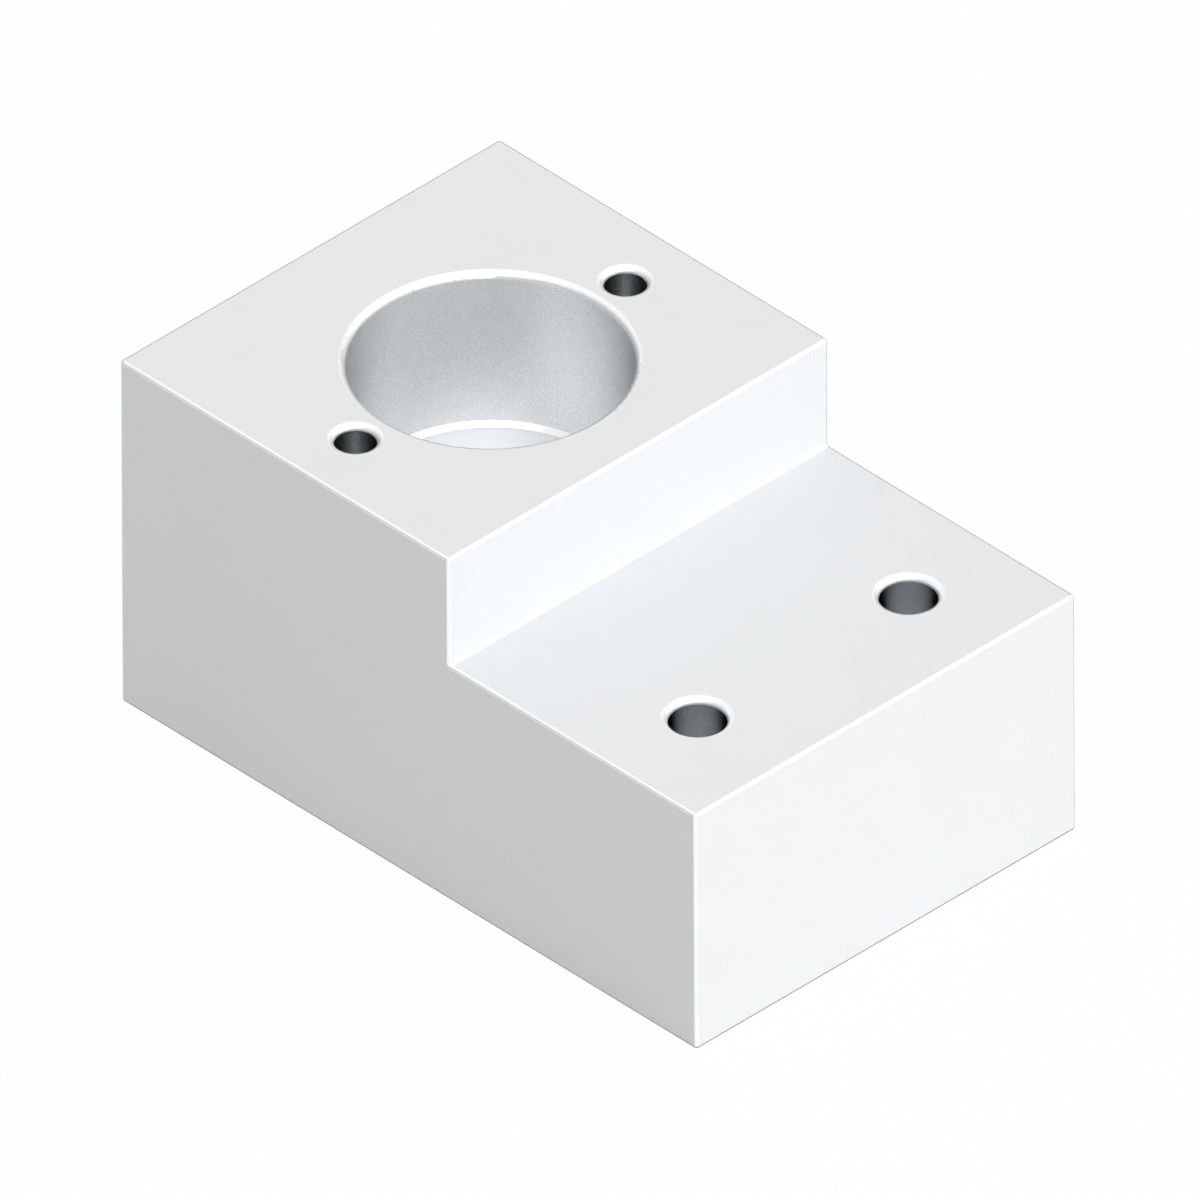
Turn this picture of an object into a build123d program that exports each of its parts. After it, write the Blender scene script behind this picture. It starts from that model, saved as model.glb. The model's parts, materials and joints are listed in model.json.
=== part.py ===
from build123d import *
from math import radians, tan
import os

# Sensor bracket: one block of aluminium, milled to a step. The high end, the
# head, has a blind flat-bottomed seat for a round sensor with a screw hole on
# each side of it. The low end is a shelf with two through holes that fix the
# bracket down.
# Frame: +X runs from the head to the shelf, +Y across the block and +Z up.
# The origin is the centre of the underside. Sizes are in millimetres.

# Block
length = 70.0
width = 45.0
height = 36.0
head_length = 40.0
shelf_height = 24.8
edge_round = 0.3
step_corner_round = 0.25

# Sensor seat in the head
seat_diameter = 24.7
seat_depth = 16.0
seat_from_end = 22.0
seat_mouth_round = 0.6
seat_floor_bevel = 0.45

# Retaining screw holes on either side of the seat, drilled blind
retaining_diameter = 3.7
retaining_depth = 12.0
retaining_spacing = 32.0
retaining_mouth_round = 0.6
drill_point_angle = 118.0

# Fixing holes through the shelf
fixing_diameter = 5.1
fixing_spacing = 25.0
fixing_from_end = 10.0
fixing_mouth_round = 0.6

# Places and heights that follow from the sizes above
underside = 0.0
head_end = -length / 2
shelf_end = length / 2
step_face = head_end + head_length
seat_centre = head_end + seat_from_end
fixing_centre = shelf_end - fixing_from_end
drill_point_height = retaining_diameter / 2 / tan(radians(drill_point_angle / 2))

with BuildPart() as bracket_body:
    # Stepped block: the side profile carried across the full width, with a
    # small tool radius left in the inner corner of the step
    with BuildSketch(Plane.XZ) as side_profile:
        with BuildLine():
            Polyline(
                (head_end, underside),
                (shelf_end, underside),
                (shelf_end, shelf_height),
                (step_face, shelf_height),
                (step_face, height),
                (head_end, height),
                close=True,
            )
        make_face()
        inner_corner = side_profile.vertices().sort_by_distance((step_face, 0, shelf_height))[0]
        fillet(inner_corner, step_corner_round)
    extrude(amount=width / 2, both=True)

    # Outside edges lightly rounded, all but the two ends of the tool radius
    tool_radius_ends = bracket_body.edges().filter_by(Axis.Y).filter_by_position(
        Axis.X, step_face, step_face + step_corner_round
    ).filter_by_position(Axis.Z, shelf_height, shelf_height + step_corner_round)
    fillet(bracket_body.edges() - tool_radius_ends, edge_round)

    # Sensor seat: flat floor, small bevel round the floor, rounded mouth
    with Locations((seat_centre, 0, height)):
        Hole(seat_diameter / 2, depth=seat_depth)
    chamfer(bracket_body.edges(Select.LAST).group_by(Axis.Z)[0], seat_floor_bevel)
    seat_mouth = bracket_body.edges().filter_by(GeomType.CIRCLE).filter_by(
        lambda edge: edge.radius > seat_diameter / 2 - seat_floor_bevel / 2
    )
    fillet(seat_mouth.group_by(Axis.Z)[-1], seat_mouth_round)

    # Retaining screw holes, on the seat's centre line across the block
    with Locations((seat_centre, 0, height)):
        with GridLocations(0, retaining_spacing, 1, 2):
            Hole(retaining_diameter / 2, depth=retaining_depth)
    fillet(bracket_body.edges(Select.LAST).group_by(Axis.Z)[-1], retaining_mouth_round)
    with Locations((seat_centre, 0, height - retaining_depth)):
        with GridLocations(0, retaining_spacing, 1, 2):
            Cone(
                bottom_radius=0,
                top_radius=retaining_diameter / 2,
                height=drill_point_height,
                align=(Align.CENTER, Align.CENTER, Align.MAX),
                mode=Mode.SUBTRACT,
            )

    # Fixing holes, right through the shelf, rounded at both mouths
    with Locations((fixing_centre, 0, shelf_height)):
        with GridLocations(0, fixing_spacing, 1, 2):
            Hole(fixing_diameter / 2, depth=shelf_height)
    fixing_mouths = bracket_body.edges(Select.LAST).filter_by(GeomType.CIRCLE)
    fillet(fixing_mouths, fixing_mouth_round)

bracket_body.part.label = "bracket_body"

os.makedirs("parts", exist_ok=True)
export_step(bracket_body.part, "parts/bracket_body.step")
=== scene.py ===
"""Looks of the sensor bracket: satin aluminium, soft studio light and the photo's parallel view."""

import json
import math
from collections import namedtuple

import bpy
from mathutils import Matrix, Vector

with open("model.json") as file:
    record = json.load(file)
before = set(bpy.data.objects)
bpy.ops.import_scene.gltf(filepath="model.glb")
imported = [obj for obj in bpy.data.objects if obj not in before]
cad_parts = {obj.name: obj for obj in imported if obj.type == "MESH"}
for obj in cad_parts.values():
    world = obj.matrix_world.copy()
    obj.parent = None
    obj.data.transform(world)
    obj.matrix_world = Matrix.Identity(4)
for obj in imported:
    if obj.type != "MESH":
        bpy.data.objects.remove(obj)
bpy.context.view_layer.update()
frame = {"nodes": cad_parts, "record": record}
scene = bpy.context.scene

# The photo's frame, and the parallel projection found in it
PHOTO_SIDE = 1200.0
PIXELS_PER_METRE = 11773.8
AZIMUTH = math.radians(45.931)
ELEVATION = math.radians(36.546)
ROLL = math.radians(-0.279)
ORIGIN_PIXEL = (598.867, 764.865)
CAMERA_DISTANCE = 0.6
CLIP_START = 0.01
CLIP_END = 5.0

# Finishes of the bracket: how light, metallic and rough each one is, how light its gloss
# stays at a grazing angle, and how much it is speckled. The dark rounded edges along the
# base are no finish but painted shade.
Finish = namedtuple("Finish", "lightness metallic roughness grazing speckle")
FACES = Finish(0.71, 0.28, 0.66, 0.33, 0.05)
EDGES = Finish(0.99, 0.81, 0.08, 0, 0.03)
# Painted shade: the rounded edges along the base are made about half as light as the other edges,
# standing in for the contact shadow where the bracket rests on the floor
BASE_EDGES_PAINTED_SHADE = Finish(0.5, 0.8, 0.25, 0, 0.03)
MOUTHS = Finish(0.94, 0.59, 0.27, 0, 0.03)
SEAT_WALL = Finish(0.8, 0.79, 0.28, 0.52, 0.4)
SEAT_FLOOR = Finish(0.96, 0.7, 0.21, 0.5, 0.08)
BLIND_HOLES = Finish(0.76, 1, 0.17, 0.55, 0.8)
THROUGH_HOLES = Finish(0.83, 1, 0.12, 0.1, 0.7)

# Tints of the metal outside and in the bores, and how far the gloss of the seat's wall is
# drawn out around the seat, as turned metal shows it
METAL_TINT = (0.982, 1.0, 1.018)
BORE_TINT = (0.986, 1.0, 1.008)
SEAT_STRETCH = 0.67

# Roundings of the CAD model in metres, and a hair's breadth for points that lie on a limit
EDGE_ROUND = 0.0003
MOUTH_ROUND = 0.0006
HAIR = 0.00002
MM_PER_METRE = 1000

# What a part of the normal has to reach on a flat face and on one that faces up, and how
# fast the finish changes where an edge starts to bend
STRAIGHT_ENOUGH = 0.997
UPWARD = 0.5
EDGE_SHARPNESS = 60.0

# Grain of the metal: sizes in metres, tone and roughness as the most that they change.
# The noise is turned, so that its layers lie along none of the faces.
NOISE_TURN = (0.4, 0.7, 0.2)
GRAIN_SIZE = 0.00012
GRAIN_DETAIL = 2.0
GRAIN_DEPTH = 0.0000012
SPECKLE_SIZE = 0.00007
SPECKLE_DETAIL = 0.0
CLOUD_SIZE = 0.006
CLOUD_DETAIL = 3.0
CLOUD_TONE = 0.012
CLOUD_ROUGHNESS = 0.03

# Floor: what it reflects, and how much of its white is its own
FLOOR_SIDE = 6.0
FLOOR_LIGHTNESS = 0.6
WHITE_SEEN = 0.97
WHITE_MIRRORED = 0.71

# Bounces that light needs between polished walls to get out of the deep holes again
GLOSSY_BOUNCES = 12

# Studio light: an even dome overhead, a broad low light from the right, a wide soft one
# from the front right, and a darker patch of the dome at the back
Glow = namedtuple("Glow", "level azimuth elevation fall")
Panel = namedtuple("Panel", "level azimuth elevation start full")
DOME_LEVEL = 0.94
DOME_RISE = (math.radians(-4.84), math.radians(35.8))
LOW_LIGHT = Glow(3.06, math.radians(24.9), 0, 4.45)
LOW_LIGHT_FADE = (math.radians(11.5), math.radians(43))
WIDE_LIGHT = Panel(0.85, math.radians(351), math.radians(26.4), 0.23, 0.83)
DARK_PATCH = Glow(0.13, math.radians(115), math.radians(29.7), 6.14)


class Shader:
    """A node tree, with short ways to add nodes that take numbers or other nodes' outputs."""

    def __init__(self, owner):
        owner.use_nodes = True
        self.tree = owner.node_tree

    def connect(self, value, socket):
        if isinstance(value, bpy.types.NodeSocket):
            self.tree.links.new(value, socket)
        else:
            socket.default_value = value

    def node(self, kind, values=(), sockets=(), **settings):
        """A new node with its settings, and the values in its sockets of those names or numbers."""
        made = self.tree.nodes.new(kind)
        for name, setting in settings.items():
            setattr(made, name, setting)
        for value, socket in zip(values, sockets):
            self.connect(value, made.inputs[socket])
        return made

    def maths(self, operation, *values, clamp=False):
        places = range(len(values))
        made = self.node("ShaderNodeMath", values, places, operation=operation, use_clamp=clamp)
        return made.outputs[0]

    def vectors(self, operation, *values, output="Vector"):
        places = range(len(values))
        made = self.node("ShaderNodeVectorMath", values, places, operation=operation)
        return made.outputs[output]

    def parts(self, vector):
        """The X, Y and Z of a vector."""
        return self.node("ShaderNodeSeparateXYZ", (vector,), ("Vector",)).outputs

    def colour(self, *channels):
        made = self.node("ShaderNodeCombineColor", channels, ("Red", "Green", "Blue"))
        return made.outputs["Color"]

    def largest(self, values):
        result = values[0]
        for value in values[1:]:
            result = self.maths("MAXIMUM", result, value)
        return result

    def mix(self, share, first, second):
        """Numbers mixed. The node has a set of sockets for each kind of value."""
        made = self.node("ShaderNodeMix", (share, first, second), (0, 2, 3), data_type="FLOAT")
        return made.outputs[0]

    def blend(self, share, first, second):
        """The same for vectors."""
        made = self.node("ShaderNodeMix", (share, first, second), (0, 4, 5), data_type="VECTOR")
        return made.outputs[1]

    def rise(self, value, start, end):
        """0 below start and 1 above end, with a smooth rise between them."""
        made = self.node(
            "ShaderNodeMapRange",
            (value, start, end),
            ("Value", "From Min", "From Max"),
            interpolation_type="SMOOTHSTEP",
        )
        return made.outputs[0]

    def noise(self, place, size, detail):
        values = (place, 1 / size, detail)
        made = self.node("ShaderNodeTexNoise", values, ("Vector", "Scale", "Detail"))
        return made.outputs["Fac"]

    def swing(self, noise):
        """Noise between 0 and 1 spread to between -1 and 1."""
        return self.maths("MULTIPLY_ADD", noise, 2.0, -1.0)


Holes = namedtuple("Holes", "radius axes wall_top")


def holes_of(name):
    """The round holes of a mount, with the height where their straight wall ends."""
    mount = next(each for each in frame["record"]["mounts"] if each["name"] == name)
    x, y, z = mount["pos_m"]
    sizes = mount["dims"]
    if "count" in sizes:
        half = sizes["spacing_y_mm"] / 2 / MM_PER_METRE
        return Holes(sizes["hole_r_mm"] / MM_PER_METRE, [(x, y - half), (x, y + half)], z)
    half = sizes["length_mm"] / 2 / MM_PER_METRE
    return Holes(sizes["r_mm"] / MM_PER_METRE, [(x, y)], z + half)


class Metal(Shader):
    """The bracket's material. Its masks are 1 on a zone of the part and 0 elsewhere."""

    def __init__(self, name):
        self.material = bpy.data.materials.new(name)
        super().__init__(self.material)
        self.principled = self.tree.nodes["Principled BSDF"]
        coordinates = self.node("ShaderNodeTexCoord")
        self.place = coordinates.outputs["Object"]
        self.normal = coordinates.outputs["Normal"]
        self.x, self.y, self.z = self.parts(self.place)
        turn = self.node("ShaderNodeMapping", (self.place, NOISE_TURN), ("Vector", "Rotation"))
        self.turned = turn.outputs["Vector"]
        names = ("sensor_seat", "retaining_screws", "fixing_screws")
        self.holes = [holes_of(name) for name in names]
        self.walls = [self.inside(holes) for holes in self.holes]
        facing_up = self.maths("GREATER_THAN", self.parts(self.normal)["Z"], UPWARD)
        self.sideways = self.maths("SUBTRACT", 1.0, facing_up)
        self.zones = self.find_zones(facing_up)

    def near(self, holes, margin):
        """Nearer to one of the axes than the holes' radius and the margin."""
        masks = []
        for x, y in holes.axes:
            dx = self.maths("SUBTRACT", self.x, x)
            dy = self.maths("SUBTRACT", self.y, y)
            squares = self.maths("MULTIPLY_ADD", dx, dx, self.maths("MULTIPLY", dy, dy))
            distance = self.maths("SQRT", squares)
            masks.append(self.maths("LESS_THAN", distance, holes.radius + margin))
        return self.largest(masks)

    def inside(self, holes):
        """In the holes, below the rounded mouth and above the rounded mouth of a lower end."""
        below = self.maths("LESS_THAN", self.z, holes.wall_top)
        above = self.maths("GREATER_THAN", self.z, MOUTH_ROUND)
        return self.maths("MULTIPLY", self.near(holes, HAIR), self.maths("MULTIPLY", below, above))

    def find_zones(self, facing_up):
        """The masks of the finishes, and of the painted shade along the base, that lie over the
        plain faces, each over the ones before.
        """
        parts = self.parts(self.normal)
        straight = self.largest([self.maths("ABSOLUTE", part) for part in parts])
        bend = self.maths("SUBTRACT", STRAIGHT_ENOUGH, straight)
        rounded = self.maths("MULTIPLY", bend, EDGE_SHARPNESS, clamp=True)
        not_down = self.maths("GREATER_THAN", parts["Z"], -STRAIGHT_ENOUGH)
        low = self.maths("LESS_THAN", self.z, EDGE_ROUND)
        near = self.largest([self.near(holes, MOUTH_ROUND - HAIR) for holes in self.holes])
        seat, blind, through = self.walls
        return (
            (rounded, EDGES),
            # Painted contact shadow: the rounded edges along the base, but not the flat underside,
            # are darkened
            (self.maths("MULTIPLY", low, not_down), BASE_EDGES_PAINTED_SHADE),
            (self.maths("MULTIPLY", near, not_down), MOUTHS),
            (seat, SEAT_WALL),
            (self.maths("MULTIPLY", seat, facing_up), SEAT_FLOOR),
            (blind, BLIND_HOLES),
            (through, THROUGH_HOLES),
        )

    def layered(self, quality):
        """One quality of the finishes, as it changes over the part."""
        value = getattr(FACES, quality)
        for mask, finish in self.zones:
            value = self.mix(mask, value, getattr(finish, quality))
        return value

    def tinted(self, lightness):
        """Grey of that lightness with the metal's slight tint."""
        in_bores = self.largest(self.walls)
        channels = []
        for outside, inside in zip(METAL_TINT, BORE_TINT):
            tint = self.mix(in_bores, outside, inside)
            channels.append(self.maths("MULTIPLY", lightness, tint))
        return self.colour(*channels)

    def round_normal(self):
        """The normal, made exactly round on the upright walls, whose mesh has flat facets."""
        result = self.normal
        for holes, walls in zip(self.holes, self.walls):
            upright = self.maths("MULTIPLY", walls, self.sideways)
            for x, y in holes.axes:
                here = upright
                if len(holes.axes) > 1:
                    same_side = self.maths("GREATER_THAN", self.maths("MULTIPLY", self.y, y), 0.0)
                    here = self.maths("MULTIPLY", upright, same_side)
                to_axis = self.vectors("SUBTRACT", (x, y, 0), self.place)
                level = self.vectors("MULTIPLY", to_axis, (1, 1, 0))
                result = self.blend(here, result, self.vectors("NORMALIZE", level))
        return result

    def fill(self, **values):
        """Fill inputs of the Principled node, named with _ for a space."""
        for name, value in values.items():
            self.connect(value, self.principled.inputs[name.replace("_", " ")])


def satin_aluminium():
    """Fine-grained satin faces, brighter rounded edges, and bores as the tool left them."""
    metal = Metal("satin_aluminium")
    cloud = metal.swing(metal.noise(metal.turned, CLOUD_SIZE, CLOUD_DETAIL))
    speckles = metal.swing(metal.noise(metal.turned, SPECKLE_SIZE, SPECKLE_DETAIL))
    tone = metal.maths("MULTIPLY_ADD", cloud, CLOUD_TONE, 1.0)
    tone = metal.maths("MULTIPLY_ADD", speckles, metal.layered("speckle"), tone)
    lightness = metal.maths("MULTIPLY", metal.layered("lightness"), tone)
    grazing = metal.layered("grazing")
    roughness = metal.layered("roughness")
    metal.fill(
        Base_Color=metal.tinted(lightness),
        Metallic=metal.layered("metallic"),
        Roughness=metal.maths("MULTIPLY_ADD", cloud, CLOUD_ROUGHNESS, roughness),
        Specular_Tint=metal.colour(grazing, grazing, grazing),
    )
    normal = metal.round_normal()
    seat_wall = metal.maths("MULTIPLY", metal.walls[0], metal.sideways)
    grain = metal.noise(metal.turned, GRAIN_SIZE, GRAIN_DETAIL)
    values = (grain, GRAIN_DEPTH, 1.0, normal)
    bump = metal.node("ShaderNodeBump", values, ("Height", "Distance", "Strength", "Normal"))
    metal.fill(
        Anisotropic=metal.maths("MULTIPLY", seat_wall, SEAT_STRETCH),
        Tangent=metal.vectors("CROSS_PRODUCT", normal, (0, 0, 1)),
        Normal=bump.outputs["Normal"],
    )
    return metal.material


def add_camera():
    """A parallel camera in which the part's origin falls on ORIGIN_PIXEL."""
    right = Vector((math.cos(AZIMUTH), math.sin(AZIMUTH), 0))
    level = Vector((math.sin(AZIMUTH), -math.cos(AZIMUTH), 0))
    back = level * math.cos(ELEVATION) + Vector((0, 0, math.sin(ELEVATION)))
    up = back.cross(right)
    turned_right = right * math.cos(ROLL) + up * math.sin(ROLL)
    turned_up = up * math.cos(ROLL) - right * math.sin(ROLL)
    across = (PHOTO_SIDE / 2 - ORIGIN_PIXEL[0]) / PIXELS_PER_METRE
    upwards = (ORIGIN_PIXEL[1] - PHOTO_SIDE / 2) / PIXELS_PER_METRE
    place = turned_right * across + turned_up * upwards + back * CAMERA_DISTANCE
    data = bpy.data.cameras.new("photo_camera")
    data.type = "ORTHO"
    data.ortho_scale = PHOTO_SIDE / PIXELS_PER_METRE
    data.clip_start = CLIP_START
    data.clip_end = CLIP_END
    camera = bpy.data.objects.new("photo_camera", data)
    axes = Matrix((turned_right, turned_up, back)).transposed()
    camera.matrix_world = Matrix.Translation(place) @ axes.to_4x4()
    scene.collection.objects.link(camera)
    scene.camera = camera


def pale_floor():
    """Part of its white is its own, as a lit backdrop's is, and the rest takes the shadow."""
    material = bpy.data.materials.new("pale_floor")
    shader = Shader(material)
    shader.tree.nodes.remove(shader.tree.nodes["Principled BSDF"])
    pale = (FLOOR_LIGHTNESS, FLOOR_LIGHTNESS, FLOOR_LIGHTNESS, 1)
    matt = shader.node("ShaderNodeBsdfDiffuse", (pale,), ("Color",))
    white = shader.node("ShaderNodeEmission")
    rays = shader.node("ShaderNodeLightPath").outputs
    seen = shader.maths("MULTIPLY", rays["Is Camera Ray"], WHITE_SEEN)
    others = shader.largest([rays["Is Glossy Ray"], rays["Is Transmission Ray"]])
    share = shader.maths("MULTIPLY_ADD", others, WHITE_MIRRORED, seen)
    values = (share, matt.outputs[0], white.outputs[0])
    both = shader.node("ShaderNodeMixShader", values, range(len(values)))
    shader.connect(both.outputs[0], shader.tree.nodes["Material Output"].inputs["Surface"])
    return material


def add_floor():
    bpy.ops.mesh.primitive_plane_add(size=FLOOR_SIDE)
    floor = bpy.context.object
    floor.name = "floor"
    floor.data.materials.append(pale_floor())


class Sky(Shader):
    """A world whose light depends on the direction that it comes from."""

    def __init__(self, name):
        self.world = bpy.data.worlds.new(name)
        super().__init__(self.world)
        self.direction = self.node("ShaderNodeTexCoord").outputs["Generated"]

    def above(self, angles):
        """0 below the first angle over the horizon, and 1 above the second."""
        sines = [math.sin(angle) for angle in angles]
        return self.rise(self.parts(self.direction)["Z"], *sines)

    def towards(self, light):
        """The cosine of the angle to a light's axis."""
        flat = math.cos(light.elevation)
        x = flat * math.cos(light.azimuth)
        y = flat * math.sin(light.azimuth)
        axis = (x, y, math.sin(light.elevation))
        return self.vectors("DOT_PRODUCT", self.direction, axis, output="Value")

    def glow(self, light):
        """Brightest towards the light's axis, and 0 at right angles to it."""
        facing = self.maths("MAXIMUM", self.towards(light), 0.0)
        return self.maths("MULTIPLY", self.maths("POWER", facing, light.fall), light.level)

    def panel(self, light):
        """Even around the light's axis, with a soft border."""
        full = self.rise(self.towards(light), light.start, light.full)
        return self.maths("MULTIPLY", full, light.level)


def add_sky():
    """The studio: a dome that fades out low down and at the back, and two lights."""
    sky = Sky("studio")
    dome = sky.maths("MULTIPLY", sky.above(DOME_RISE), DOME_LEVEL)
    dome = sky.maths("SUBTRACT", dome, sky.glow(DARK_PATCH))
    under = sky.maths("SUBTRACT", 1.0, sky.above(LOW_LIGHT_FADE))
    low = sky.maths("MULTIPLY", sky.glow(LOW_LIGHT), under)
    lights = sky.maths("ADD", low, sky.panel(WIDE_LIGHT))
    background = sky.tree.nodes["Background"]
    sky.connect((1, 1, 1, 1), background.inputs["Color"])
    sky.connect(sky.maths("ADD", dome, lights), background.inputs["Strength"])
    scene.world = sky.world


add_camera()
add_floor()
add_sky()

finish = satin_aluminium()
for slot in frame["nodes"]["bracket_body"].material_slots:
    slot.material = finish

scene.cycles.glossy_bounces = GLOSSY_BOUNCES
scene.view_settings.view_transform = "Standard"
